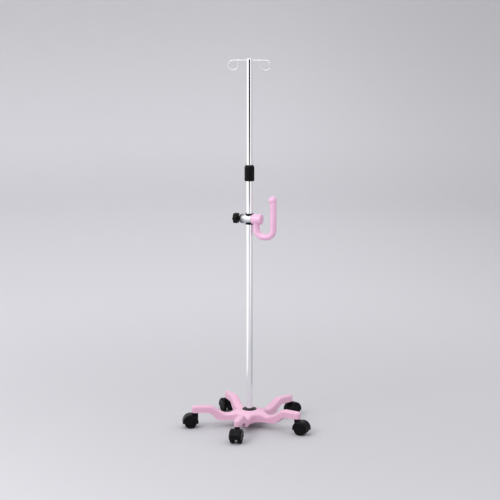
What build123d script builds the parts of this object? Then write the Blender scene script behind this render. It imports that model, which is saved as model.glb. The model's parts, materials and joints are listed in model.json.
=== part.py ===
"""Infusion stand on five casters: a gull-wing cast base, a two-stage pole with a
collet lock, two bag hooks and a height-adjustable J-shaped push handle.

Millimetres, +Z up.  The origin is where the pole's axis meets the floor."""

import os
from math import cos, radians, sin

from build123d import *

# ---------------------------------------------------------------- clearances
seat_gap = 0.02  # between pieces that stay fixed to each other
running_gap = 0.05  # radial clearance of a shaft or slide that moves
clear_gap = 0.5  # between moving pieces that must never touch

# ---------------------------------------------------------------- base
arm_count = 5
first_arm_angle = -102.4  # the front arm, counted from +X about +Z
caster_circle_radius = 264.5
arm_tip_half_width = 16.5
arm_root_half_width = 27.0
arm_web_radius = 52.0
arm_edge_radius = 11.0
arm_wall = 5.0
hub_top = 86.0
valley_top = 69.0
valley_radius = 118.0
shoulder_radius = 205.0
arm_top = 110.0
arm_rise_lean = 9.0  # how far the rise starts inside the shoulder's own line
hub_underside = 37.0
foot_rise_radius = 140.0
arm_tip_underside = 76.0
arm_flat_radius = 214.0
rib_thickness = 4.0
cross_rib_radii = [105.0, 150.0, 195.0]
socket_wall_radius = 24.0
socket_bottom = 13.0
socket_floor = 34.0
socket_floor_thickness = 8.0
bolt_recess_radius = 15.0
stem_boss_radius = 12.5

# ---------------------------------------------------------------- base bolt
base_bolt_radius = 5.0
base_bolt_length = 34.0
base_bolt_head_radius = 8.0
base_bolt_head_height = 9.0
base_washer_radius = 13.0
base_washer_thickness = 2.5
bolt_socket_radius = 4.6

# ---------------------------------------------------------------- pole
stand_height = 1800.0
lower_pole_radius = 15.9
lower_pole_wall = 1.2
lower_pole_top = 1262.0
telescope_gap = 0.4  # between the two tubes, filled by the glide and the sleeve
upper_pole_wall = 1.2
upper_pole_foot = 830.0
foot_plug_height = 34.0
glide_flange_height = 24.0
glide_spigot_height = 30.0
collar_radius = 35.5
collar_height = 5.5
collar_lip_width = 5.0
collar_lip_height = 2.2

# ---------------------------------------------------------------- collet lock
collet_bottom = 1217.0
collet_top = 1294.0
collet_nut_wall = 3.98
collet_crown_wall = 3.5
collet_crown_height = 16.0
collet_edge_radius = 4.5
collet_flutes = 10
collet_flute_radius = 5.0
collet_flute_depth = 1.7
collet_body_wall = 3.6
collet_body_bottom = 1219.0
collet_body_lip = 3.0
sleeve_base_wall = 3.8
sleeve_tip_wall = 1.2
sleeve_cone_height = 17.0
sleeve_flange_height = 3.0
sleeve_slots = 3  # slots right across, so twice as many fingers
sleeve_slot_width = 1.6

# ---------------------------------------------------------------- bag hooks
hook_wire_radius = 3.3
hook_drop = 10.0  # from the pole's top down to the middle of the bar
hook_reach = 101.0
hook_bend_radius = 23.0
hook_loop_radius = 23.5
hook_loop_turn = 12.0  # turns the loop aside, so the free end clears the bar
hook_end_above_bar = 3.0
hook_yaw = -9.0
cap_dome_height = 4.0
cap_plug_depth = 24.0
hook_seat_depth = 8.0

# ---------------------------------------------------------------- handle clamp
clamp_height = 1033.0
clamp_yaw = -23.0
barrel_radius = 23.5
barrel_left = 40.0
barrel_right = 14.0
barrel_edge_radius = 5.0
liner_wall = 2.5
liner_height = 53.0
liner_lip = 1.6
liner_lip_height = 2.4
liner_slot_width = 3.0
ring_radius = 21.5
ring_thickness = 4.0
screw_radius = 5.0
screw_pitch = 1.5
screw_turns = 1.0
pad_radius = 9.0
pad_length = 9.0
pad_socket_depth = 4.0
knob_centre = 69.5
knob_radius = 26.0
knob_thickness = 23.0
knob_lobes = 6
knob_scallop_radius = 11.0
knob_scallop_depth = 4.6
knob_neck_radius = 10.5
knob_neck_tip_radius = 7.5
knob_neck_length = 11.5
knob_edge_radius = 4.0

# ---------------------------------------------------------------- J handle
boss_radius = 24.6
boss_right = 64.5
boss_edge_radius = 3.0
boss_gap = 0.8
spigot_radius = 18.8
spigot_right = 44.0
grip_radius = 16.0
grip_wall = 4.0
grip_near_leg = 36.0
grip_far_leg = 124.0
grip_bend_radius = 38.0
grip_lowest = 949.0
grip_ball_proud = 4.0  # the ball bulges towards the pole and is flush on the far side
grip_ball_height = 1129.0
ball_spigot_length = 26.0
handle_bolt_radius = 4.0
handle_bolt_head_radius = 7.0
handle_bolt_head_height = 8.0
end_cap_radius = 19.0
end_cap_depth = 10.0
end_cap_thickness = 2.4

# ---------------------------------------------------------------- casters
wheel_radius = 30.0
wheel_width = 17.5
wheel_gap = 20.0
wheel_trail = 27.0
tread_thickness = 5.0
tread_key_depth = 1.5
tread_edge_radius = 2.5
wheel_dish_depth = 2.5
wheel_hub_radius = 9.0
axle_radius = 4.0
axle_boss_radius = 9.5
hood_radius = 39.0
hood_side_wall = 2.2
hood_shoulder_radius = 9.0
hood_skirt = 25.0
wheel_well_gap = 4.0
wheel_well_edge_radius = 5.0
stem_housing_radius = 11.5
stem_pin_radius = 5.0
stem_socket_radius = 5.5
stem_flange_radius = 9.5
stem_flange_thickness = 2.8
stem_top = 102.0
stem_bottom = 40.0
housing_top = 73.0

# ---------------------------------------------------------------- worked out
arm_step = 360 / arm_count
arm_angles = [first_arm_angle + arm_step * i for i in range(arm_count)]
arm_names = ["front", "right", "rear_right", "rear_left", "left"]
arm_tip_centre = caster_circle_radius + arm_tip_half_width * 0.25
lower_pole_bore = lower_pole_radius - lower_pole_wall
upper_pole_radius = lower_pole_bore - telescope_gap
upper_pole_bore = upper_pole_radius - upper_pole_wall
upper_pole_top = stand_height - cap_dome_height
hook_height = stand_height - hook_drop
liner_bore = lower_pole_radius + running_gap
liner_radius = liner_bore + liner_wall
clamp_bore = liner_radius + running_gap
wheel_inner_face = wheel_gap / 2
wheel_outer_face = wheel_inner_face + wheel_width
core_radius = wheel_radius - tread_thickness
hood_half_width = wheel_outer_face + clear_gap + hood_side_wall
collet_body_bore = lower_pole_radius + seat_gap
collet_body_radius = collet_body_bore + collet_body_wall
collet_body_top = lower_pole_top + collet_body_lip
collet_radius = collet_body_radius + clear_gap + collet_nut_wall
collet_crown_radius = upper_pole_radius + collet_crown_wall
sleeve_bore = upper_pole_radius + running_gap
sleeve_base_radius = sleeve_bore + sleeve_base_wall
sleeve_tip_radius = sleeve_bore + sleeve_tip_wall
sleeve_bottom = collet_body_top + running_gap
cone_bottom = sleeve_bottom + sleeve_flange_height
cone_top = cone_bottom + sleeve_cone_height
pad_back = liner_radius + pad_length
screw_tip = pad_back - pad_socket_depth
grip_ball_radius = grip_radius + grip_ball_proud
knob_inner_face = knob_centre - knob_thickness / 2
washer_top = socket_floor - socket_floor_thickness
bolt_head_top = washer_top - base_washer_thickness

axle_reach = wheel_width - 3.5
clamp_direction = Vector(cos(radians(clamp_yaw)), sin(radians(clamp_yaw)), 0)
hook_direction = Vector(cos(radians(hook_yaw)), sin(radians(hook_yaw)), 0)

clamp_frame = Plane(
    origin=(0, 0, clamp_height),
    x_dir=(cos(radians(clamp_yaw)), sin(radians(clamp_yaw)), 0),
    z_dir=(0, 0, 1),
)
clamp_axis_frame = Plane(
    origin=(0, 0, clamp_height),
    x_dir=(0, 0, 1),
    z_dir=(cos(radians(clamp_yaw)), sin(radians(clamp_yaw)), 0),
)
handle_frame = Plane(
    origin=(0, 0, 0),
    x_dir=(cos(radians(clamp_yaw)), sin(radians(clamp_yaw)), 0),
    z_dir=(sin(radians(clamp_yaw)), -cos(radians(clamp_yaw)), 0),
)


def finish(part, name):
    """Labels a piece and writes its STEP file."""
    part.label = name
    export_step(part, f"parts/{name}.step")


def ring(inner_radius, outer_radius, low, high):
    """A plain tube about the pole's axis between two heights."""
    with BuildPart() as tube:
        with BuildSketch(Plane.XY.offset(low)):
            Circle(outer_radius)
            Circle(inner_radius, mode=Mode.SUBTRACT)
        extrude(amount=high - low)
    return tube.part


def along_clamp(distance):
    """A plane across the clamp's axis, this far from the pole's axis."""
    return clamp_axis_frame.offset(distance)


def shared_edges(some_faces, other_faces):
    """The edges where a face of one group meets a face of the other."""
    others = [edge.center() for face in other_faces for edge in face.edges()]
    return [
        edge
        for face in some_faces
        for edge in face.edges()
        if any((edge.center() - point).length < 0.001 for point in others)
    ]


# ================================================================ base casting
def arm_plan(inset):
    """One arm seen from above, pointing along +X, drawn in by an inset."""
    tip = arm_tip_half_width - inset
    with BuildSketch() as plan:
        with BuildLine():
            near = Line((0, arm_root_half_width - inset), (arm_tip_centre, tip))
            end = ThreePointArc(near @ 1, (arm_tip_centre + tip, 0), (arm_tip_centre, -tip))
            far = Line(end @ 1, (0, inset - arm_root_half_width))
            Line(far @ 1, near @ 0)
        make_face()
    return plan.sketch


def star_plan(inset):
    """The five arms seen from above, with a web's curve in each corner between two."""
    arm = arm_plan(inset)
    with BuildSketch() as star:
        with PolarLocations(0, arm_count, start_angle=first_arm_angle):
            add(arm)
        corners = star.vertices().filter_by(
            lambda v: Vector(v.X, v.Y, 0).length < arm_tip_centre / 2
        )
        fillet(corners, radius=arm_web_radius + inset)
    return star.sketch


def crown_line(drop):
    """The upper outline from the pole out to the tip: hub, valley, shoulder, tip."""
    hub = Line((0, hub_top - drop), (collar_radius, hub_top - drop))
    rise = Spline(
        hub @ 1,
        (valley_radius, valley_top - drop),
        (shoulder_radius - arm_rise_lean * 3, arm_top - drop - 8),
        (shoulder_radius + arm_rise_lean * 2, arm_top - drop),
        tangents=[(1, -0.12), (1, 0)],
    )
    reach = arm_tip_centre + 2 * arm_tip_half_width
    return hub, rise, Line(rise @ 1, (reach, arm_top - drop - 1))


def make_base_casting():
    with BuildPart() as wing:
        with BuildSketch(Plane.XZ):
            with BuildLine():
                hub, _, ridge = crown_line(0)
                end = Line(ridge @ 1, ((ridge @ 1).X, arm_tip_underside))
                sole = Line(end @ 1, (arm_flat_radius, arm_tip_underside))
                rise = Spline(
                    sole @ 1, (foot_rise_radius, hub_underside), tangents=[(-1, 0), (-1, 0)]
                )
                floor = Line(rise @ 1, (0, hub_underside))
                Line(floor @ 1, hub @ 0)
            make_face()
        revolve(axis=Axis.Z)
        with BuildSketch():
            add(star_plan(0))
        extrude(amount=2 * arm_top, mode=Mode.INTERSECT)
        crown = wing.faces().filter_by(lambda f: f.normal_at().Z > 0.2)
        sides = wing.faces().filter_by(lambda f: abs(f.normal_at().Z) < 0.01)
        fillet(shared_edges(crown, sides), radius=arm_edge_radius)

    with BuildPart() as hollow:
        with BuildSketch(Plane.XZ):
            with BuildLine():
                hub, _, ridge = crown_line(arm_wall)
                end = Line(ridge @ 1, ((ridge @ 1).X, 0))
                floor = Line(end @ 1, (0, 0))
                Line(floor @ 1, hub @ 0)
            make_face()
        revolve(axis=Axis.Z)
        with BuildSketch():
            add(star_plan(arm_wall))
        extrude(amount=2 * arm_top, mode=Mode.INTERSECT)

    with BuildPart() as ribs:
        with BuildSketch():
            Circle(socket_wall_radius)
            with PolarLocations(0, arm_count, start_angle=first_arm_angle):
                with Locations((caster_circle_radius / 2, 0)):
                    Rectangle(caster_circle_radius, rib_thickness)
                with Locations([(radius, 0) for radius in cross_rib_radii]):
                    Rectangle(rib_thickness, 2 * arm_root_half_width)
                with Locations((caster_circle_radius, 0)):
                    Circle(stem_boss_radius)
        extrude(amount=2 * arm_top)
        add(wing.part, mode=Mode.INTERSECT)

    with BuildPart() as casting:
        add(wing.part)
        add(hollow.part, mode=Mode.SUBTRACT)
        add(ribs.part)
        with BuildSketch(Plane.XY.offset(socket_bottom)):
            Circle(socket_wall_radius)
        extrude(amount=hub_top - socket_bottom - arm_wall)
        with BuildSketch(Plane.XY.offset(socket_floor)):
            Circle(lower_pole_radius + seat_gap)
        extrude(amount=hub_top, mode=Mode.SUBTRACT)
        with BuildSketch(Plane.XY):
            Circle(base_bolt_radius + clear_gap)
        extrude(amount=hub_top, mode=Mode.SUBTRACT)
        with BuildSketch(Plane.XY):
            Circle(bolt_recess_radius)
        extrude(amount=washer_top, mode=Mode.SUBTRACT)
        with BuildSketch():
            with PolarLocations(caster_circle_radius, arm_count, start_angle=first_arm_angle):
                Circle(stem_socket_radius + seat_gap)
        extrude(amount=stem_top + clear_gap, mode=Mode.SUBTRACT)
        mouth = casting.faces().filter_by(GeomType.PLANE).sort_by(Axis.Z)[0]
        chamfer(mouth.outer_wire().edges(), length=1.5)
    return casting


# ================================================================ pole and its foot
def make_pole_collar():
    lip = lower_pole_radius + collar_lip_width
    with BuildPart() as collar:
        with BuildSketch(Plane.XZ):
            with BuildLine():
                inner = lower_pole_radius + seat_gap
                shelf = collar_height - collar_lip_height
                wall = Line((inner, 0), (inner, collar_height))
                top = Line(wall @ 1, (lip - collar_lip_height, collar_height))
                slope = Line(top @ 1, (lip, shelf))
                flat = Line(slope @ 1, (collar_radius - shelf, shelf - 0.6))
                edge = ThreePointArc(
                    flat @ 1,
                    (collar_radius - shelf * 0.25, shelf * 0.6),
                    (collar_radius, 0),
                )
                Line(edge @ 1, wall @ 0)
            make_face()
        revolve(axis=Axis.Z)
    return Pos(0, 0, hub_top + seat_gap) * collar.part


def make_lower_pole():
    return ring(lower_pole_bore, lower_pole_radius, socket_floor + seat_gap, lower_pole_top)


def make_pole_foot_plug():
    bottom = socket_floor + seat_gap
    with BuildPart() as plug:
        with BuildSketch(Plane.XY.offset(bottom)):
            Circle(lower_pole_bore - seat_gap)
            Circle(base_bolt_radius + seat_gap, mode=Mode.SUBTRACT)
        extrude(amount=foot_plug_height)
        rims = plug.edges().filter_by(GeomType.CIRCLE).group_by(SortBy.RADIUS)[-1]
        chamfer(rims, length=1)
    return plug.part


def socket_screw(head_radius, head_height, shank_radius, shank_length, socket_radius):
    """A socket-head screw pointing up +Z, with the underside of its head at z = 0."""
    with BuildPart() as screw:
        with BuildSketch():
            Circle(head_radius)
        extrude(amount=-head_height)
        chamfer(screw.edges().filter_by(GeomType.CIRCLE).sort_by(Axis.Z)[0], length=0.6)
        with BuildSketch():
            Circle(shank_radius)
        extrude(amount=shank_length)
        chamfer(screw.edges().filter_by(GeomType.CIRCLE).sort_by(Axis.Z)[-1], length=0.8)
        with BuildSketch(Plane.XY.offset(-head_height)):
            RegularPolygon(socket_radius, 6)
        extrude(amount=head_height * 0.6, mode=Mode.SUBTRACT)
    return screw.part


def make_base_bolt():
    screw = socket_screw(
        base_bolt_head_radius,
        base_bolt_head_height,
        base_bolt_radius,
        base_bolt_length,
        bolt_socket_radius,
    )
    return Pos(0, 0, bolt_head_top - seat_gap) * screw


def make_base_washer():
    return ring(base_bolt_radius + 0.3, base_washer_radius, bolt_head_top, washer_top - seat_gap)


# ================================================================ collet lock
def make_collet_body():
    with BuildPart() as body:
        add(ring(collet_body_bore, collet_body_radius, collet_body_bottom, collet_body_top))
        add(ring(lower_pole_bore, collet_body_bore, lower_pole_top + seat_gap, collet_body_top))
    return body.part


def make_collet_sleeve():
    with BuildPart() as sleeve:
        with BuildSketch(Plane.XZ):
            Polygon(
                (sleeve_bore, sleeve_bottom),
                (sleeve_base_radius + 0.8, sleeve_bottom),
                (sleeve_base_radius + 0.8, cone_bottom),
                (sleeve_base_radius, cone_bottom),
                (sleeve_tip_radius, cone_top),
                (sleeve_bore, cone_top),
                align=None,
            )
        revolve(axis=Axis.Z)
        with BuildSketch(Plane.XY.offset(cone_bottom)):
            with PolarLocations(0, sleeve_slots, angular_range=180):
                Rectangle(2 * collet_radius, sleeve_slot_width)
        extrude(amount=2 * sleeve_cone_height, mode=Mode.SUBTRACT)
    return sleeve.part


def make_collet_nut():
    chamber = collet_body_radius + clear_gap
    throat = upper_pole_radius + clear_gap
    with BuildPart() as nut:
        with BuildSketch(Plane.XZ):
            with BuildLine():
                bottom = Line((chamber, collet_bottom), (collet_radius - 1.5, collet_bottom))
                heel = ThreePointArc(
                    bottom @ 1,
                    (collet_radius - 0.45, collet_bottom + collet_edge_radius * 0.3),
                    (collet_radius, collet_bottom + collet_edge_radius),
                )
                side = Line(heel @ 1, (collet_radius, collet_top - collet_crown_height))
                crown = Spline(
                    side @ 1,
                    (collet_crown_radius + 1.5, collet_top - 2.5),
                    (collet_crown_radius - 1, collet_top),
                    tangents=[(0, 1), (-1, 0.4)],
                )
                top = Line(crown @ 1, (throat, collet_top))
                neck = Line(top @ 1, (throat, cone_top + clear_gap))
                shelf = Line(neck @ 1, (sleeve_tip_radius + running_gap, cone_top + clear_gap))
                step = Line(shelf @ 1, (sleeve_tip_radius + running_gap, cone_top))
                cone = Line(step @ 1, (sleeve_base_radius + running_gap, cone_bottom + running_gap))
                roof = Line(cone @ 1, (chamber, cone_bottom + running_gap))
                Line(roof @ 1, bottom @ 0)
            make_face()
        revolve(axis=Axis.Z)
        with BuildSketch(Plane.XY.offset(collet_bottom)):
            flute_centre = collet_radius + collet_flute_radius - collet_flute_depth
            with PolarLocations(flute_centre, collet_flutes):
                Circle(collet_flute_radius)
        extrude(amount=collet_top - collet_bottom, mode=Mode.SUBTRACT)
    return nut.part


# ================================================================ upper pole
def make_upper_pole():
    with BuildPart() as pole:
        add(ring(upper_pole_bore, upper_pole_radius, upper_pole_foot, upper_pole_top))
        with BuildSketch(Plane(origin=(0, 0, hook_height), z_dir=hook_direction)):
            Circle(hook_wire_radius + seat_gap)
        extrude(amount=upper_pole_radius, both=True, mode=Mode.SUBTRACT)
    return pole.part


def make_pole_glide():
    """The nylon foot that guides the upper pole in the lower one and lets it turn."""
    flange_top = upper_pole_foot - running_gap
    with BuildPart() as glide:
        with BuildSketch(Plane.XY.offset(flange_top)):
            Circle(lower_pole_bore - running_gap)
        extrude(amount=-glide_flange_height)
        chamfer(glide.edges().filter_by(GeomType.CIRCLE).sort_by(Axis.Z)[0], length=1.5)
        with BuildSketch(Plane.XY.offset(flange_top)):
            Circle(upper_pole_bore - running_gap)
        extrude(amount=glide_spigot_height)
        chamfer(glide.edges().filter_by(GeomType.CIRCLE).sort_by(Axis.Z)[-1], length=1.5)
        with BuildSketch(Plane.XY.offset(flange_top - glide_flange_height)):
            Circle(upper_pole_bore * 0.55)
        extrude(amount=glide_flange_height + glide_spigot_height, mode=Mode.SUBTRACT)
    return glide.part


def make_pole_cap():
    with BuildPart() as cap:
        with BuildSketch(Plane.XZ):
            with BuildLine():
                seat = upper_pole_top + seat_gap
                plug = Line(
                    (0, seat - cap_plug_depth), (upper_pole_bore - seat_gap, seat - cap_plug_depth)
                )
                wall = Line(plug @ 1, (upper_pole_bore - seat_gap, seat))
                rim = Line(wall @ 1, (upper_pole_radius, seat))
                edge = Line(rim @ 1, (upper_pole_radius, seat + 0.8))
                dome = Spline(
                    edge @ 1,
                    (0, stand_height),
                    tangents=[(-0.15, 1), (-1, 0)],
                )
                Line(dome @ 1, plug @ 0)
            make_face()
        revolve(axis=Axis.Z)
        with BuildSketch(Plane(origin=(0, 0, hook_height), z_dir=hook_direction)):
            Circle(hook_wire_radius + seat_gap)
        extrude(amount=upper_pole_radius, both=True, mode=Mode.SUBTRACT)
    return cap.part


def make_bag_hook():
    """One hook with its bar along +X from the pole's axis, at z = 0."""
    reach = hook_reach
    bend = hook_bend_radius
    loop = hook_loop_radius
    turn = radians(hook_loop_turn)
    inward = Vector(-cos(turn), -sin(turn), 0)
    start = Vector(upper_pole_radius - hook_seat_depth, 0, 0)
    corner = Vector(reach - bend, 0, 0)
    side = Vector(reach, 0, -bend)
    middle = side + inward * loop
    back = side + inward * (2 * loop)
    end = back + Vector(0, 0, bend + hook_end_above_bar)
    corner_middle = corner + Vector(bend * sin(radians(45)), 0, -bend * (1 - cos(radians(45))))
    with BuildPart() as hook:
        with BuildLine() as wire:
            Line(start, corner)
            ThreePointArc(corner, corner_middle, side)
            ThreePointArc(side, middle - Vector(0, 0, loop), back)
            Line(back, end)
        with BuildSketch(Plane(origin=start, z_dir=(1, 0, 0))):
            Circle(hook_wire_radius)
        sweep(path=wire.line)
        with Locations(end):
            Sphere(hook_wire_radius)
    return hook.part


# ================================================================ handle clamp
def make_clamp_barrel():
    with BuildPart() as barrel:
        with BuildSketch(along_clamp(-barrel_left)):
            Circle(barrel_radius)
        extrude(amount=barrel_left + barrel_right)
        ends = barrel.edges().filter_by(GeomType.CIRCLE).sort_by(Axis((0, 0, 0), clamp_direction))
        fillet(ends[0], radius=barrel_edge_radius)
        with BuildSketch(along_clamp(barrel_right)):
            Circle(spigot_radius)
        extrude(amount=spigot_right - barrel_right)
        with BuildSketch(clamp_frame):
            Circle(clamp_bore)
        extrude(amount=liner_height, both=True, mode=Mode.SUBTRACT)
        with BuildSketch(along_clamp(-barrel_left)):
            Circle(screw_radius + running_gap)
        extrude(amount=barrel_left, mode=Mode.SUBTRACT)
        with BuildSketch(along_clamp(0)):
            Circle(pad_radius + running_gap)
        extrude(amount=-(pad_back + screw_pitch * screw_turns + clear_gap), mode=Mode.SUBTRACT)
        with BuildSketch(along_clamp(spigot_right)):
            Circle(handle_bolt_radius + seat_gap)
        extrude(amount=-(spigot_right - clamp_bore - 2), mode=Mode.SUBTRACT)
    return barrel.part


def make_clamp_liner():
    half = liner_height / 2
    with BuildPart() as liner:
        with BuildSketch(clamp_frame):
            Circle(liner_radius)
        extrude(amount=half, both=True)
        for end in (-half, half - liner_lip_height):
            with BuildSketch(clamp_frame.offset(end)):
                Circle(liner_radius + liner_lip)
            extrude(amount=liner_lip_height)
        with BuildSketch(clamp_frame):
            Circle(liner_bore)
            with Locations((liner_radius, 0)):
                Rectangle(2 * liner_wall + 2 * liner_lip, liner_slot_width)
        extrude(amount=half, both=True, mode=Mode.SUBTRACT)
    return liner.part


def make_clamp_ring():
    with BuildPart() as washer:
        with BuildSketch(along_clamp(-barrel_left - seat_gap)):
            Circle(ring_radius)
            Circle(screw_radius + clear_gap, mode=Mode.SUBTRACT)
        extrude(amount=-ring_thickness)
        outer = washer.edges().filter_by(GeomType.CIRCLE).group_by(SortBy.RADIUS)[-1]
        fillet(outer, radius=ring_thickness * 0.4)
    return washer.part


def make_clamp_pad():
    with BuildPart() as pad:
        with BuildSketch(along_clamp(-pad_back)):
            Circle(pad_radius)
        extrude(amount=pad_back)
        with BuildSketch(along_clamp(-pad_back)):
            Circle(screw_radius + running_gap)
        extrude(amount=pad_socket_depth, mode=Mode.SUBTRACT)
        with BuildSketch(clamp_frame):
            Circle(liner_radius + running_gap)
        extrude(amount=liner_height, both=True, mode=Mode.SUBTRACT)
    return pad.part


def make_clamp_screw():
    with BuildPart() as screw:
        with BuildSketch(along_clamp(-screw_tip - running_gap)):
            Circle(screw_radius)
        extrude(amount=-(knob_centre - screw_tip))
        rims = screw.edges().filter_by(GeomType.CIRCLE)
        chamfer(rims, length=0.6)
    return screw.part


def make_clamp_knob():
    with BuildPart() as knob:
        with BuildSketch(along_clamp(-knob_inner_face)) as star:
            Circle(knob_radius)
            with PolarLocations(
                knob_radius + knob_scallop_radius - knob_scallop_depth, knob_lobes
            ):
                Circle(knob_scallop_radius, mode=Mode.SUBTRACT)
            fillet(star.vertices(), radius=knob_edge_radius)
        extrude(amount=-knob_thickness)
        ends = knob.faces().filter_by(GeomType.PLANE)
        fillet(ends.edges(), radius=knob_edge_radius)
        with BuildSketch(along_clamp(-knob_inner_face)):
            Circle(knob_neck_radius)
        with BuildSketch(along_clamp(-knob_inner_face + knob_neck_length)):
            Circle(knob_neck_tip_radius)
        loft()
        with BuildSketch(along_clamp(-knob_inner_face + knob_neck_length)):
            Circle(screw_radius + seat_gap)
        extrude(
            amount=-(knob_neck_length + knob_thickness / 2 + clear_gap), mode=Mode.SUBTRACT
        )
    return knob.part


# ================================================================ J handle
def grip_path():
    near, far, bend = grip_near_leg, grip_far_leg, grip_bend_radius
    low = grip_lowest
    diagonal = bend * (1 - cos(radians(45)))
    with BuildLine(handle_frame) as path:
        Line((near, clamp_height), (near, low + bend))
        ThreePointArc((near, low + bend), (near + diagonal, low + diagonal), (near + bend, low))
        Line((near + bend, low), (far - bend, low))
        ThreePointArc((far - bend, low), (far - diagonal, low + diagonal), (far, low + bend))
        Line((far, low + bend), (far, grip_ball_height - grip_radius / 2))
    return path.line


def make_handle_grip():
    top = handle_frame.from_local_coords(Vector(grip_near_leg, clamp_height, 0))
    left = barrel_right + boss_gap
    with BuildPart() as grip:
        with BuildSketch(Plane(origin=top, z_dir=(0, 0, -1))):
            Circle(grip_radius)
        sweep(path=grip_path())
        with BuildSketch(Plane(origin=top, z_dir=(0, 0, -1))):
            Circle(grip_radius - grip_wall)
        sweep(path=grip_path(), mode=Mode.SUBTRACT)
        with BuildSketch(along_clamp(left)):
            Circle(boss_radius)
        extrude(amount=boss_right - left)
        rims = grip.edges().filter_by(GeomType.CIRCLE).filter_by(
            lambda e: abs(e.radius - boss_radius) < 0.01
        )
        fillet(rims, radius=boss_edge_radius)
        with BuildSketch(along_clamp(left)):
            Circle(spigot_radius + seat_gap)
        extrude(amount=spigot_right + seat_gap - left, mode=Mode.SUBTRACT)
        with BuildSketch(along_clamp(left)):
            Circle(handle_bolt_radius + clear_gap)
        extrude(amount=boss_right - left, mode=Mode.SUBTRACT)
        with BuildSketch(along_clamp(boss_right)):
            Circle(end_cap_radius + seat_gap)
        extrude(amount=-end_cap_thickness, mode=Mode.SUBTRACT)
        with BuildSketch(along_clamp(boss_right)):
            Circle(handle_bolt_head_radius + clear_gap)
        extrude(amount=-(end_cap_thickness + end_cap_depth), mode=Mode.SUBTRACT)
        with BuildSketch(clamp_frame):
            Circle(liner_radius + liner_lip + clear_gap)
        extrude(amount=2 * boss_radius, both=True, mode=Mode.SUBTRACT)
    return grip.part


def make_handle_ball():
    top = grip_ball_height - grip_radius / 2
    ball_centre = handle_frame.from_local_coords(
        Vector(grip_far_leg - grip_ball_proud, grip_ball_height, 0)
    )
    leg = handle_frame.from_local_coords(Vector(grip_far_leg, top, 0))
    with BuildPart() as ball:
        with Locations(ball_centre):
            Sphere(grip_ball_radius)
        with BuildSketch(Plane(origin=leg + Vector(0, 0, seat_gap), z_dir=(0, 0, -1))):
            Circle(grip_radius + seat_gap)
        extrude(amount=2 * grip_ball_radius, mode=Mode.SUBTRACT)
        with BuildSketch(Plane(origin=leg + Vector(0, 0, seat_gap), z_dir=(0, 0, -1))):
            Circle(grip_radius - grip_wall - seat_gap)
        extrude(amount=ball_spigot_length)
    return ball.part


def make_handle_bolt():
    seat = boss_right - end_cap_thickness - end_cap_depth
    screw = socket_screw(
        handle_bolt_head_radius,
        handle_bolt_head_height,
        handle_bolt_radius,
        seat - clamp_bore - 4,
        handle_bolt_head_radius * 0.55,
    )
    return Plane(along_clamp(seat + seat_gap).origin, z_dir=-clamp_direction).location * screw


def make_boss_end_cap():
    with BuildPart() as cap:
        with BuildSketch(along_clamp(boss_right)):
            Circle(end_cap_radius)
        extrude(amount=-(end_cap_thickness - seat_gap))
        face = cap.faces().sort_by(Axis((0, 0, 0), clamp_direction))[-1]
        fillet(face.edges(), radius=0.8)
    return cap.part


# ================================================================ casters
wheel_plane = Plane(origin=(wheel_trail, 0, wheel_radius), x_dir=(0, 1, 0), z_dir=(1, 0, 0))
wheel_axis = Axis((wheel_trail, 0, wheel_radius), (0, 1, 0))


def make_wheel_tread():
    """The soft tread of the wheel on the +Y side, keyed into the core's groove."""
    middle = wheel_inner_face + wheel_width / 2
    with BuildPart() as tread:
        with BuildSketch(wheel_plane) as section:
            with Locations((middle, core_radius + tread_thickness / 2)):
                Rectangle(wheel_width, tread_thickness)
            corners = section.vertices().group_by(Axis.Z)[-1]
            fillet(corners, radius=tread_edge_radius)
            with Locations((middle, core_radius)):
                Rectangle(wheel_width / 3, 2 * tread_key_depth)
        revolve(axis=wheel_axis)
    return tread.part


def make_wheel_core():
    """The rigid wheel on the +Y side, turning on the axle in a blind bore."""
    middle = wheel_inner_face + wheel_width / 2
    dish_middle = (wheel_hub_radius + core_radius - tread_key_depth * 2) / 2
    dish_height = core_radius - tread_key_depth * 2 - wheel_hub_radius - 2
    with BuildPart() as core:
        with BuildSketch(wheel_plane):
            with Locations((middle, (core_radius - seat_gap) / 2)):
                Rectangle(wheel_width, core_radius - seat_gap)
            with Locations((middle, core_radius)):
                Rectangle(
                    wheel_width / 3 + 2 * seat_gap,
                    2 * (tread_key_depth + seat_gap),
                    mode=Mode.SUBTRACT,
                )
            with Locations((wheel_outer_face, dish_middle), (wheel_inner_face, dish_middle)):
                Rectangle(2 * wheel_dish_depth, dish_height, mode=Mode.SUBTRACT)
            bore = axle_radius + running_gap
            with Locations((wheel_inner_face + axle_reach / 2, bore / 2)):
                Rectangle(axle_reach, bore, mode=Mode.SUBTRACT)
        revolve(axis=wheel_axis)
    return core.part


def make_caster_axle():
    half = wheel_inner_face + axle_reach - clear_gap
    with BuildPart() as axle:
        with BuildSketch(Plane.XZ):
            with Locations((wheel_trail, wheel_radius)):
                Circle(axle_radius)
        extrude(amount=half, both=True)
        chamfer(axle.edges().filter_by(GeomType.CIRCLE), length=0.5)
    return axle.part


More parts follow.
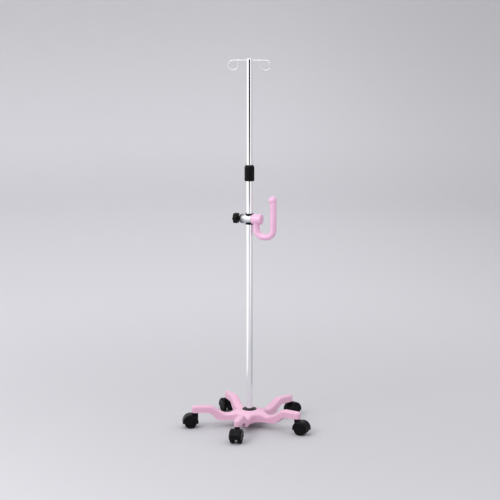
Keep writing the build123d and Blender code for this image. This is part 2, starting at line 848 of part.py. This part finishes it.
def make_caster_housing():
    """Hood, wheel wells, axle boss and stem socket, trailing towards +X."""
    boss_half = wheel_inner_face - clear_gap
    well_radius = wheel_radius + wheel_well_gap
    well_width = wheel_outer_face + clear_gap - boss_half
    with BuildPart() as well:
        with BuildSketch(Plane.XZ.offset(-boss_half)):
            with Locations((wheel_trail, wheel_radius)):
                Circle(well_radius)
        extrude(amount=-well_width)
        fillet(well.edges().filter_by(GeomType.CIRCLE).sort_by(Axis.Y)[-1], wheel_well_edge_radius)
    with BuildPart() as housing:
        with BuildSketch(Plane.XZ):
            with Locations((wheel_trail, wheel_radius)):
                Circle(hood_radius)
        extrude(amount=hood_half_width, both=True)
        fillet(housing.edges().filter_by(GeomType.CIRCLE), radius=hood_shoulder_radius)
        with BuildSketch(Plane.XY.offset(hood_skirt)):
            Circle(stem_housing_radius)
        extrude(amount=housing_top - hood_skirt)
        with BuildSketch(Plane.XZ):
            Polygon(
                (0, hood_skirt),
                (0, housing_top),
                (stem_housing_radius, housing_top - 1),
                (wheel_trail, wheel_radius + hood_radius),
                (wheel_trail, hood_skirt),
                align=None,
            )
        extrude(amount=boss_half, both=True)
        add(well.part, mode=Mode.SUBTRACT)
        add(mirror(well.part, about=Plane.XZ, mode=Mode.PRIVATE), mode=Mode.SUBTRACT)
        with BuildSketch(Plane.XY.offset(hood_skirt)):
            with Locations((wheel_trail, 0)):
                Rectangle(4 * hood_radius, 4 * hood_radius)
        extrude(amount=-2 * hood_radius, mode=Mode.SUBTRACT)
        with BuildSketch(Plane.XZ):
            with Locations((wheel_trail, wheel_radius)):
                Circle(axle_boss_radius)
        extrude(amount=boss_half, both=True)
        with BuildSketch(Plane.XZ):
            with Locations((wheel_trail, wheel_radius)):
                Circle(axle_radius + seat_gap)
        extrude(amount=boss_half, both=True, mode=Mode.SUBTRACT)
        with BuildSketch(Plane.XY.offset(housing_top)):
            Circle(stem_pin_radius + running_gap)
        extrude(amount=-(housing_top - stem_bottom + clear_gap), mode=Mode.SUBTRACT)
    return housing.part


def make_caster_stem():
    flange_top = arm_tip_underside - seat_gap
    with BuildPart() as stem:
        with BuildSketch(Plane.XY.offset(stem_bottom)):
            Circle(stem_pin_radius)
        extrude(amount=flange_top - stem_bottom)
        with BuildSketch(Plane.XY.offset(flange_top)):
            Circle(stem_flange_radius)
        extrude(amount=-stem_flange_thickness)
        with BuildSketch(Plane.XY.offset(flange_top)):
            Circle(stem_socket_radius)
        extrude(amount=stem_top - flange_top)
        ends = stem.edges().filter_by(GeomType.CIRCLE).sort_by(Axis.Z)
        chamfer([ends[0], ends[-1]], length=0.8)
    return stem.part


# ================================================================ writing the pieces
os.makedirs("parts", exist_ok=True)

finish(make_base_casting().part, "base_casting")
finish(make_pole_collar(), "pole_collar")
finish(make_lower_pole(), "lower_pole")
finish(make_pole_foot_plug(), "pole_foot_plug")
finish(make_base_bolt(), "base_bolt")
finish(make_base_washer(), "base_washer")

finish(make_collet_body(), "collet_body")
finish(make_collet_sleeve(), "collet_sleeve")
finish(make_collet_nut(), "collet_nut")

finish(make_upper_pole(), "upper_pole")
finish(make_pole_glide(), "pole_glide")
finish(make_pole_cap(), "pole_cap")
bag_hook = make_bag_hook()
finish(Pos(0, 0, hook_height) * Rot(0, 0, hook_yaw) * bag_hook, "right_bag_hook")
finish(Pos(0, 0, hook_height) * Rot(0, 0, hook_yaw + 180) * bag_hook, "left_bag_hook")

finish(make_clamp_barrel(), "clamp_barrel")
finish(make_clamp_liner(), "clamp_liner")
finish(make_clamp_ring(), "clamp_ring")
finish(make_clamp_pad(), "clamp_pad")
finish(make_clamp_screw(), "clamp_screw")
finish(make_clamp_knob(), "clamp_knob")
finish(make_handle_grip(), "handle_grip")
finish(make_handle_ball(), "handle_ball")
finish(make_handle_bolt(), "handle_bolt")
finish(make_boss_end_cap(), "boss_end_cap")

caster_pieces = {
    "stem": make_caster_stem(),
    "housing": make_caster_housing(),
    "axle": make_caster_axle(),
    "wheel_a": make_wheel_core(),
    "tread_a": make_wheel_tread(),
}
for wheel_piece in ("wheel", "tread"):
    near_side = caster_pieces[f"{wheel_piece}_a"]
    caster_pieces[f"{wheel_piece}_b"] = mirror(near_side, about=Plane.XZ)
for angle, place in zip(arm_angles, arm_names):
    spot = Rot(0, 0, angle) * Pos(caster_circle_radius, 0, 0)
    for piece_name, piece in caster_pieces.items():
        finish(spot * piece, f"{place}_caster_{piece_name}")
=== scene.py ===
"""Looks for the infusion stand: finishes for every piece, small welded and moulded details,
and a pale studio. Metres, in the stand's own frame: pole on the Z axis, floor at z = 0."""

import json
import math

import bpy
from mathutils import Matrix, Vector


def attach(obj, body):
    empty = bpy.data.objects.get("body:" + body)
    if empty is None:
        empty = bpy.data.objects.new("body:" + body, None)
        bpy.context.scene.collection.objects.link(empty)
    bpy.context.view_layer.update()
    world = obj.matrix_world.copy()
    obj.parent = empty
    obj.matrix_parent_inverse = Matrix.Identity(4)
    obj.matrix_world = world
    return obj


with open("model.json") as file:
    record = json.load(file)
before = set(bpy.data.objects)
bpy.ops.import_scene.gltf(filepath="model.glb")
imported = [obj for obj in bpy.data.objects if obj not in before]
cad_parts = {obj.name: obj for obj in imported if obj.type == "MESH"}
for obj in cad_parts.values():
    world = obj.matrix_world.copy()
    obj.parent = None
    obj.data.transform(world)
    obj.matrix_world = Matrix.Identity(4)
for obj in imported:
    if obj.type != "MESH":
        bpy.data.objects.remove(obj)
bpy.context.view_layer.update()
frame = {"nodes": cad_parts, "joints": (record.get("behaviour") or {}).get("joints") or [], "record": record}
NODES = frame["nodes"]
JOINTS = {joint["name"]: joint for joint in frame["joints"]}

# ------------------------------------------------------------------ camera
CAMERA_DISTANCE = 7.0
CAMERA_HEIGHT = 2.097
CAMERA_PITCH = math.radians(9.86)
CAMERA_LENS = 105.77
CAMERA_SHIFT = 0.0011
SENSOR_WIDTH = 36
CAMERA_REACH = 200

camera_data = bpy.data.cameras.new("camera")
camera_data.lens = CAMERA_LENS
camera_data.sensor_width = SENSOR_WIDTH
camera_data.shift_x = CAMERA_SHIFT
camera_data.clip_end = CAMERA_REACH
camera = bpy.data.objects.new("camera", camera_data)
camera.location = (0, -CAMERA_DISTANCE, CAMERA_HEIGHT)
camera.rotation_euler = (math.radians(90) - CAMERA_PITCH, 0, 0)
bpy.context.scene.collection.objects.link(camera)
bpy.context.scene.camera = camera
bpy.context.scene.view_settings.view_transform = "Standard"


# ------------------------------------------------------------------ shader arithmetic
class Signal:
    """One output socket of a shader. Arithmetic on it adds the Math nodes that work it out."""

    def __init__(self, tree, socket):
        self.tree = tree
        self.socket = socket

    def math(self, operation, *others):
        node = self.tree.nodes.new("ShaderNodeMath")
        node.operation = operation
        for slot, value in zip(node.inputs, (self, *others)):
            plug(self.tree, slot, value)
        return Signal(self.tree, node.outputs[0])

    def __add__(self, other):
        return self.math("ADD", other)

    def __radd__(self, other):
        return self.math("ADD", other)

    def __sub__(self, other):
        return self.math("SUBTRACT", other)

    def __rsub__(self, other):
        return constant(self.tree, other).math("SUBTRACT", self)

    def __mul__(self, other):
        return self.math("MULTIPLY", other)

    def __rmul__(self, other):
        return self.math("MULTIPLY", other)

    def step(self, low, high):
        """0 below low, 1 above high, and smooth between them."""
        node = self.tree.nodes.new("ShaderNodeMapRange")
        node.interpolation_type = "SMOOTHSTEP"
        for slot, value in zip(node.inputs, (self, low, high, 0, 1)):
            plug(self.tree, slot, value)
        return Signal(self.tree, node.outputs[0])


def plug(tree, slot, value):
    """Links a signal to a socket, or sets the socket's own value."""
    if isinstance(value, Signal):
        tree.links.new(value.socket, slot)
    else:
        slot.default_value = value


def constant(tree, number):
    node = tree.nodes.new("ShaderNodeValue")
    node.outputs[0].default_value = number
    return Signal(tree, node.outputs[0])


SOCKETS = {
    "metallic": "Metallic",
    "coat_weight": "Coat Weight",
    "coat_roughness": "Coat Roughness",
    "specular": "Specular IOR Level",
    "subsurface": "Subsurface Weight",
}


class Finish:
    """A material built round one Principled shader, with its patterns in Object coordinates."""

    def __init__(self, name, **constants):
        self.material = bpy.data.materials.new(name)
        self.material.use_nodes = True
        self.tree = self.material.node_tree
        self.shader = self.tree.nodes["Principled BSDF"]
        for socket, value in constants.items():
            self.shader.inputs[SOCKETS[socket]].default_value = value
        self.place = self.node("ShaderNodeTexCoord", out="Object")
        split = self.tree.nodes.new("ShaderNodeSeparateXYZ")
        self.tree.links.new(self.place.socket, split.inputs[0])
        self.x, self.y, self.z = (Signal(self.tree, output) for output in split.outputs)

    def node(self, kind, settings=None, out=0, **sockets):
        """Adds any node: its settings first, then the values or links of its sockets."""
        node = self.tree.nodes.new(kind)
        for setting, value in (settings or {}).items():
            setattr(node, setting, value)
        for socket, value in sockets.items():
            plug(self.tree, node.inputs[socket.replace("_", " ")], value)
        return Signal(self.tree, node.outputs[out])

    def noise(self, scale, detail=2.0, stretch=(1, 1, 1)):
        """Noise whose grain is `scale` per metre, drawn out along an axis by a small stretch."""
        where = self.node("ShaderNodeMapping", Vector=self.place, Scale=stretch)
        return self.node("ShaderNodeTexNoise", Vector=where, Scale=scale, Detail=detail)

    def blend(self, factor, first, second):
        """A colour mix: the first where the factor is 0, the second where it is 1."""
        mix = self.tree.nodes.new("ShaderNodeMix")
        mix.data_type = "RGBA"
        plug(self.tree, mix.inputs["Factor"], factor)
        plug(self.tree, mix.inputs[6], first)
        plug(self.tree, mix.inputs[7], second)
        return Signal(self.tree, mix.outputs[2])

    def radius(self):
        """Distance from the pole's axis."""
        return (self.x * self.x + self.y * self.y).math("SQRT")

    def bump(self, height, distance, strength):
        """A normal that rises by `distance` metres where the height is 1."""
        return self.node(
            "ShaderNodeBump", Strength=strength, Distance=distance, Height=height
        )

    def set(self, **channels):
        """Plugs values or signals into the shader's own sockets."""
        for socket, value in channels.items():
            plug(self.tree, self.shader.inputs[socket.replace("_", " ")], value)

    def cover(self, *names):
        """Gives the finish to these CAD nodes."""
        for name in names:
            mesh = NODES[name].data
            mesh.materials.clear()
            mesh.materials.append(self.material)


# ------------------------------------------------------------------ finishes
def farthest(node, direction):
    """How far a CAD node reaches along a direction from the origin."""
    return max(vertex.co.dot(direction) for vertex in NODES[node].data.vertices)


PINK_COAT = (0.80, 0.47, 0.63, 1)
PINK_SHADE = (0.77, 0.43, 0.59, 1)
PINK_MOULDED = (0.86, 0.50, 0.70, 1)
PINK_MOULDED_SHADE = (0.78, 0.42, 0.62, 1)
SCUFF = (0.45, 0.33, 0.38, 1)
CHROME = (0.90, 0.90, 0.92, 1)
CHROME_SMUDGE = (0.80, 0.80, 0.83, 1)
SATIN_METAL = (0.64, 0.65, 0.70, 1)
SATIN_METAL_DULL = (0.52, 0.53, 0.57, 1)
# Painted shade: the dark colour and the width of the band at the clamp barrel's screw end.
PAINTED_SHADE_METAL = (0.09, 0.09, 0.10, 1)
BARREL_PAINTED_SHADE_WIDTH = 0.030
BARREL_PAINTED_SHADE_EDGE = 0.002
BLACK = (0.004, 0.004, 0.005, 1)
BLACK_WORN = (0.011, 0.011, 0.012, 1)
TREAD = (0.007, 0.007, 0.008, 1)
FLOOR_DUST = (0.06, 0.057, 0.054, 1)
NYLON = (0.78, 0.78, 0.74, 1)
NYLON_SHADE = (0.66, 0.66, 0.62, 1)
ZINC = (0.62, 0.63, 0.66, 1)
ZINC_DULL = (0.46, 0.47, 0.50, 1)


def powder_coat():
    """Baked pink powder coat: orange peel, faint clouding, scuffs towards the arm tips."""
    coat = Finish("pink_powder_coat", coat_weight=0.15, coat_roughness=0.18)
    cloud = coat.noise(9, 3).step(0.35, 0.7)
    colour = coat.blend(cloud, PINK_COAT, PINK_SHADE)
    scratch = coat.noise(160, 4, (1, 1, 0.25)).step(0.66, 0.72)
    outer = coat.radius().step(0.20, 0.29)
    scuffed = scratch * outer * 0.5
    peel = coat.noise(420, 2)
    coat.set(
        Base_Color=coat.blend(scuffed, colour, SCUFF),
        Roughness=0.34 + 0.08 * cloud + 0.25 * scuffed,
        Normal=coat.bump(peel, 0.00025, 0.35),
    )
    return coat


def moulded_pink():
    """The glossy moulded pink of the handle, with fine grain and hand-polished patches."""
    skin = Finish("pink_moulded_plastic", coat_weight=0.25, coat_roughness=0.12)
    cloud = skin.noise(14, 2).step(0.35, 0.7)
    polish = skin.noise(30, 3).step(0.45, 0.6)
    grain = skin.noise(900, 2)
    skin.set(
        Base_Color=skin.blend(cloud, PINK_MOULDED, PINK_MOULDED_SHADE),
        Roughness=0.30 + 0.10 * polish,
        Normal=skin.bump(grain, 0.0001, 0.25),
    )
    return skin


def polished_tube():
    """Polished steel tube: drawing lines along the pole and faint finger smudges."""
    tube = Finish("polished_steel_tube", metallic=1.0)
    lines = tube.noise(900, 2, (1, 1, 0.02))
    smudge = tube.noise(22, 3, (1, 1, 0.4)).step(0.5, 0.75)
    tube.set(
        Base_Color=tube.blend(smudge * 0.5, CHROME, CHROME_SMUDGE),
        Roughness=0.03 + 0.06 * smudge + 0.02 * lines,
        Normal=tube.bump(lines, 0.00002, 0.15),
    )
    return tube


def satin_clamp():
    """Satin metal of the clamp barrel: turned lines, and a painted shade band, a dark colour over its screw
    end that stands in for that end's shading and dark reflection.
    """
    metal = Finish("satin_clamp_metal", metallic=1.0)
    outward = Vector(JOINTS["knob_turn"]["axis"]).normalized()
    along = metal.x * outward.x + metal.y * outward.y
    screw_end = farthest("clamp_barrel", outward)
    # Painted shade: the last few centimetres of the barrel towards the knob are darkened, standing in for
    # the shaded, dark-reflecting end.
    painted_shade_band = along.step(screw_end - BARREL_PAINTED_SHADE_WIDTH, screw_end - BARREL_PAINTED_SHADE_EDGE)
    turning = metal.noise(700, 3, (1, 0.3, 0.1))
    dull = metal.noise(40, 2).step(0.4, 0.7)
    shade = metal.blend(dull * 0.5, SATIN_METAL, SATIN_METAL_DULL)
    metal.set(
        Base_Color=metal.blend(painted_shade_band * 0.9, shade, PAINTED_SHADE_METAL),
        Roughness=0.34 + 0.08 * dull + 0.06 * turning,
        Normal=metal.bump(turning, 0.00005, 0.25),
    )
    return metal


def black_moulding():
    """Black moulded plastic of the nut, the knob, the collar and the caster hoods."""
    black = Finish("black_moulded_plastic", specular=0.10)
    worn = black.noise(60, 3).step(0.5, 0.75)
    grain = black.noise(1200, 2)
    low = 1 - black.z.step(0.02, 0.05)
    black.set(
        Base_Color=black.blend(worn * 0.6 + low * 0.1, BLACK, BLACK_WORN),
        Roughness=0.30 + 0.12 * worn + 0.1 * low,
        Normal=black.bump(grain, 0.0001, 0.3),
    )
    return black


def wheel_nylon():
    """Dull black nylon of the wheel cores."""
    nylon = Finish("black_wheel_nylon", specular=0.10)
    cloud = nylon.noise(80, 3).step(0.4, 0.7)
    nylon.set(
        Base_Color=nylon.blend(cloud, BLACK, BLACK_WORN),
        Roughness=0.45 + 0.1 * cloud,
        Normal=nylon.bump(nylon.noise(1000, 2), 0.0001, 0.3),
    )
    return nylon


def tread_rubber():
    """Rubber treads with a little floor dust."""
    rubber = Finish("tread_rubber", specular=0.10)
    dust = rubber.noise(140, 4).step(0.55, 0.8)
    rubber.set(
        Base_Color=rubber.blend(dust * 0.35, TREAD, FLOOR_DUST),
        Roughness=0.60 + 0.2 * dust,
        Normal=rubber.bump(rubber.noise(700, 3), 0.0002, 0.4),
    )
    return rubber


def pale_nylon():
    """Natural nylon of the collet sleeve and the pole's glide."""
    nylon = Finish("pale_nylon", subsurface=0.05)
    cloud = nylon.noise(50, 2).step(0.4, 0.7)
    nylon.set(
        Base_Color=nylon.blend(cloud, NYLON, NYLON_SHADE),
        Roughness=0.42 + 0.08 * cloud,
        Normal=nylon.bump(nylon.noise(800, 2), 0.0001, 0.2),
    )
    return nylon


def zinc_plate():
    """Zinc-plated steel of the stems, axles, bolts and washers."""
    zinc = Finish("zinc_plated_steel", metallic=1.0)
    spangle = zinc.noise(300, 3).step(0.4, 0.65)
    zinc.set(
        Base_Color=zinc.blend(spangle, ZINC, ZINC_DULL),
        Roughness=0.28 + 0.12 * spangle,
        Normal=zinc.bump(zinc.noise(900, 2), 0.00004, 0.3),
    )
    return zinc


FINISHES = {
    "pink_enamel": powder_coat(),
    "pink_plastic": moulded_pink(),
    "chrome_tube": polished_tube(),
    "clamp_metal": satin_clamp(),
    "black_plastic": black_moulding(),
    "wheel_nylon": wheel_nylon(),
    "tread_rubber": tread_rubber(),
    "white_nylon": pale_nylon(),
    "zinc_steel": zinc_plate(),
}
for subpart in frame["record"]["subparts"]:
    FINISHES[subpart["material_slot"]].cover(subpart["node"])


# ------------------------------------------------------------------ small pieces
CLAMP_HEIGHT = 1.033
RIM_BEVEL = 0.00025
SHARP_ANGLE = math.radians(35)
INSERT_PROFILE = [
    (0.0074, 0.0),
    (0.0074, 0.0009),
    (0.0064, 0.0013),
    (0.0060, 0.0009),
    (0.0035, 0.0016),
    (0.0010, 0.0019),
]
INSERT_SEAT = 0.0002
CAP_SEAT = 0.0003
CAP_SIDES = 36
CAP_PROFILE = [
    (0.0085, 0.0),
    (0.0085, 0.0012),
    (0.0074, 0.0017),
    (0.0052, 0.0017),
    (0.0046, 0.0011),
    (0.0020, 0.0016),
    (0.0006, 0.0018),
]
BEAD_RING = 0.0040
BEAD_THICKNESS = 0.0013
BEAD_RIPPLES = 11
BEAD_RIPPLE_DEPTH = 0.16
BEAD_STEPS = 88
BEAD_SECTION_STEPS = 12
BAR_END_POINTS = 60  # of the hook, nearest the pole's axis


def settle(piece, place, direction):
    """Puts a piece made at the origin where it belongs and leaves its object at the origin."""
    bpy.ops.object.select_all(action="DESELECT")
    piece.select_set(True)
    bpy.context.view_layer.objects.active = piece
    turn = Vector(direction).to_track_quat("Z", "Y").to_matrix().to_4x4()
    piece.matrix_world = Matrix.Translation(place) @ turn
    bpy.ops.object.transform_apply(location=True, rotation=True, scale=True)


def turned(name, profile, steps=40):
    """A turned piece standing on z = 0: a disc drawn up ring by ring along (radius, height)."""
    bpy.ops.object.select_all(action="DESELECT")
    bpy.ops.mesh.primitive_circle_add(
        vertices=steps, radius=profile[0][0], fill_type="NGON", enter_editmode=True
    )
    for (low_radius, low), (high_radius, high) in zip(profile, profile[1:]):
        bpy.ops.mesh.extrude_region_move(
            TRANSFORM_OT_translate={"value": (0, 0, high - low)}
        )
        grow = high_radius / low_radius
        bpy.ops.transform.resize(value=(grow, grow, 1), center_override=(0, 0, high))
    bpy.ops.mesh.select_all(action="SELECT")
    bpy.ops.mesh.normals_make_consistent(inside=False)
    bpy.ops.object.mode_set(mode="OBJECT")
    piece = bpy.context.object
    piece.name = name
    rim = piece.modifiers.new("rim", "BEVEL")
    rim.width = RIM_BEVEL
    rim.segments = 2
    rim.limit_method = "ANGLE"
    rim.angle_limit = SHARP_ANGLE
    bpy.ops.object.modifier_apply(modifier=rim.name)
    bpy.ops.object.shade_smooth_by_angle(angle=SHARP_ANGLE)
    return piece


def dress(piece, body, slot):
    """Finish and body of a new piece, the finish looked up by its slot name."""
    piece.data.materials.clear()
    piece.data.materials.append(FINISHES[slot].material)
    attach(piece, body)


def make_knob_insert():
    """The bright pressed disc in the middle of the knob's outer face."""
    outward = Vector(JOINTS["knob_turn"]["axis"]).normalized()
    face = farthest("clamp_knob", outward) - outward.z * CLAMP_HEIGHT
    insert = turned("knob_insert", INSERT_PROFILE)
    settle(insert, outward * (face - INSERT_SEAT) + Vector((0, 0, CLAMP_HEIGHT)), outward)
    dress(insert, "clamp_knob", "clamp_metal")


def make_axle_caps():
    """The moulded caps over both ends of each caster's axle, on the sides of its hood."""
    housings = sorted(node for node in NODES if node.endswith("_caster_housing"))
    for housing in housings:
        caster = housing[: -len("_housing")]
        roll = JOINTS[caster.replace("_caster", "_roll_a")]
        centre = Vector(roll["pos_m"])
        for side, sign in (("a", 1), ("b", -1)):
            outward = Vector(roll["axis"]).normalized() * sign
            reach = farthest(housing, outward) - centre.dot(outward)
            cap = turned(f"{caster}_axle_cap_{side}", CAP_PROFILE, CAP_SIDES)
            settle(cap, centre + outward * (reach - CAP_SEAT), outward)
            dress(cap, caster, "black_plastic")


def make_hook_welds():
    """A rippled weld bead where each hook's bar meets the pole."""
    pole = [vertex.co for vertex in NODES["upper_pole"].data.vertices]
    pole_radius = max(math.hypot(point.x, point.y) for point in pole)
    for side in ("right", "left"):
        hook = (vertex.co for vertex in NODES[f"{side}_bag_hook"].data.vertices)
        bar = sorted(hook, key=lambda point: math.hypot(point.x, point.y))[:BAR_END_POINTS]
        middle = sum(bar, Vector()) / len(bar)
        outward = Vector((middle.x, middle.y, 0)).normalized()
        bpy.ops.object.select_all(action="DESELECT")
        bpy.ops.mesh.primitive_torus_add(
            major_radius=BEAD_RING,
            minor_radius=BEAD_THICKNESS,
            major_segments=BEAD_STEPS,
            minor_segments=BEAD_SECTION_STEPS,
        )
        bead = bpy.context.object
        bead.name = f"{side}_hook_weld"
        for vertex in bead.data.vertices:
            around = math.atan2(vertex.co.y, vertex.co.x)
            core = Vector((math.cos(around), math.sin(around), 0)) * BEAD_RING
            ripple = 1 + BEAD_RIPPLE_DEPTH * math.cos(BEAD_RIPPLES * around)
            vertex.co = core + (vertex.co - core) * ripple
            vertex.co.z -= pole_radius - math.sqrt(pole_radius**2 - vertex.co.y**2)
        bpy.ops.object.shade_smooth()
        settle(bead, outward * pole_radius + Vector((0, 0, middle.z)), outward)
        dress(bead, "mast", "chrome_tube")


make_knob_insert()
make_axle_caps()
make_hook_welds()

# ------------------------------------------------------------------ studio
FLOOR_RADIUS = 8.0
BEND_RADIUS = 3.0
BEND_STEPS = 24
WALL_HEIGHT = 4.2
BOWL_SIDES = 128
NEAR_FLOOR = (0.55, 0.55, 0.572, 1)
# Painted light: the paler tone of the far floor.
FAR_FLOOR_PAINTED_LIGHT = (0.668, 0.668, 0.695, 1)
WALL_PALE = (0.715, 0.715, 0.742, 1)
# Painted shade: the darker tone at the wall's top.
WALL_TOP_PAINTED_SHADE = (0.645, 0.645, 0.655, 1)
# Painted shade: the darker tone of the side away from the key light.
SIDE_PAINTED_SHADE = (0.485, 0.485, 0.495, 1)
ROOM_LIGHT = (1.0, 1.0, 1.02, 1)
ROOM_STRENGTH = 1.06
PANEL_TOP = 3.4
PANEL_GLOW_FOOT = 0.05
PANEL_GLOW_HEAD = 1.0
KEY_POWER = 60
KEY_WIDTH = 1.6


def bowl_profile():
    """Radius and height of the bowl's rings: the floor's edge, a wide bend and the wall's top."""
    turns = [math.radians(90) * step / BEND_STEPS for step in range(BEND_STEPS + 1)]
    bend = [
        (FLOOR_RADIUS + BEND_RADIUS * math.sin(turn), BEND_RADIUS * (1 - math.cos(turn)))
        for turn in turns
    ]
    return bend + [(FLOOR_RADIUS + BEND_RADIUS, WALL_HEIGHT)]


def make_bowl():
    """A pale floor that bends up into a wall all round, beyond the camera on every side. Its colour carries
    painted light and shade: a floor painted paler further out, a wall painted darker towards its top and a
    side painted darker.
    """
    profile = bowl_profile()
    bpy.ops.object.select_all(action="DESELECT")
    bpy.ops.mesh.primitive_circle_add(
        vertices=BOWL_SIDES, radius=FLOOR_RADIUS, fill_type="NGON", enter_editmode=True
    )
    bpy.ops.mesh.select_mode(type="EDGE")
    bpy.ops.mesh.select_all(action="SELECT")
    bpy.ops.mesh.region_to_loop()
    for (low_radius, low), (high_radius, high) in zip(profile, profile[1:]):
        bpy.ops.mesh.extrude_edges_move(TRANSFORM_OT_translate={"value": (0, 0, high - low)})
        grow = high_radius / low_radius
        bpy.ops.transform.resize(value=(grow, grow, 1), center_override=(0, 0, high))
    bpy.ops.object.mode_set(mode="OBJECT")
    bowl = bpy.context.object
    bowl.name = "studio_bowl"
    bpy.ops.object.shade_smooth()
    finish = Finish("studio_bowl", specular=0.1)
    away = finish.node(
        "ShaderNodeVectorMath", {"operation": "LENGTH"}, out="Value", Vector=finish.place
    )
    # Painted light: the floor is painted paler away from the stand, making up for the key light falling off.
    far = away.step(0.3, 3.5)
    rise = finish.z.step(0.0, 0.5)
    # Painted shade: the wall is painted darker towards its top.
    top_painted_shade = finish.z.step(0.4, 2.2)
    # Painted shade: the side towards +x, the camera's right, is painted darker, standing in for light that
    # comes from the left.
    side_painted_shade = finish.x.step(-0.4, 3.2) * 0.6
    cloud = finish.noise(0.8, 2)
    floor = finish.blend(far, NEAR_FLOOR, FAR_FLOOR_PAINTED_LIGHT)
    wall = finish.blend(top_painted_shade, WALL_PALE, WALL_TOP_PAINTED_SHADE)
    body = finish.blend(rise, floor, wall)
    finish.set(
        Base_Color=finish.blend(side_painted_shade + 0.04 * cloud, body, SIDE_PAINTED_SHADE),
        Roughness=0.9 + 0.05 * cloud,
    )
    bowl.data.materials.append(finish.material)


def make_room():
    """Even light from all round."""
    world = bpy.data.worlds.new("studio_room")
    world.use_nodes = True
    sky = world.node_tree.nodes["Background"]
    sky.inputs["Color"].default_value = ROOM_LIGHT
    sky.inputs["Strength"].default_value = ROOM_STRENGTH
    bpy.context.scene.world = world


def soft_light(name, place, aim, width, power):
    """A square soft light at a place, turned towards its aim."""
    light = bpy.data.lights.new(name, "AREA")
    light.shape = "RECTANGLE"
    light.size = width
    light.size_y = width
    light.energy = power
    lamp = bpy.data.objects.new(name, light)
    lamp.location = place
    lamp.rotation_euler = (Vector(aim) - Vector(place)).to_track_quat("-Z", "Y").to_euler()
    lamp.visible_camera = False
    bpy.context.scene.collection.objects.link(lamp)


def reflector(name, corners, foot, head):
    """A four-cornered panel seen only in polished metal, its glow going from foot to head."""
    bpy.ops.object.select_all(action="DESELECT")
    bpy.ops.mesh.primitive_plane_add(size=1)
    panel = bpy.context.object
    panel.name = name
    for vertex, corner in zip(panel.data.vertices, corners):
        vertex.co = corner
    glow = bpy.data.materials.new(name)
    glow.use_nodes = True
    tree = glow.node_tree
    tree.nodes.remove(tree.nodes["Principled BSDF"])
    light = tree.nodes.new("ShaderNodeEmission")
    strongest = max(foot, head)
    light.inputs["Strength"].default_value = strongest
    place = tree.nodes.new("ShaderNodeTexCoord")
    split = tree.nodes.new("ShaderNodeSeparateXYZ")
    tree.links.new(place.outputs["Object"], split.inputs[0])
    mix = tree.nodes.new("ShaderNodeMix")
    mix.data_type = "RGBA"
    height = Signal(tree, split.outputs[2])
    plug(tree, mix.inputs["Factor"], height.step(PANEL_GLOW_FOOT, PANEL_GLOW_HEAD))
    plug(tree, mix.inputs[6], (*[foot / strongest] * 3, 1))
    plug(tree, mix.inputs[7], (*[head / strongest] * 3, 1))
    tree.links.new(mix.outputs[2], light.inputs["Color"])
    tree.links.new(light.outputs[0], tree.nodes["Material Output"].inputs[0])
    panel.data.materials.append(glow)
    panel.visible_camera = False
    panel.visible_diffuse = False
    panel.visible_shadow = False
    panel.visible_transmission = False


def upright(near, far):
    """Corners of a panel that stands on the floor from one point to another."""
    return [(*near, 0.0), (*far, 0.0), (*near, PANEL_TOP), (*far, PANEL_TOP)]


def overhead(half_x, front, back, height):
    """Corners of a level panel above the stand."""
    return [
        (-half_x, front, height),
        (half_x, front, height),
        (-half_x, back, height),
        (half_x, back, height),
    ]


make_bowl()
make_room()
soft_light("key_light", (-2.6, -2.4, 3.4), (0, 0, 0.6), KEY_WIDTH, KEY_POWER)
reflector("left_panel", upright((-0.85, 0.5), (-1.95, -3.5)), 1.15, 1.35)
reflector("right_panel", upright((1.55, -0.9), (2.0, -3.5)), 1.15, 1.3)
reflector("right_dim_panel", upright((0.66, 0.7), (0.80, -0.35)), 0.45, 0.60)
reflector("dark_gap", upright((-4.6, -7.6), (4.6, -7.6)), 0.30, 0.0)
reflector("ceiling_panel", overhead(2.2, -3.2, 1.2, 3.9), 1.5, 1.5)
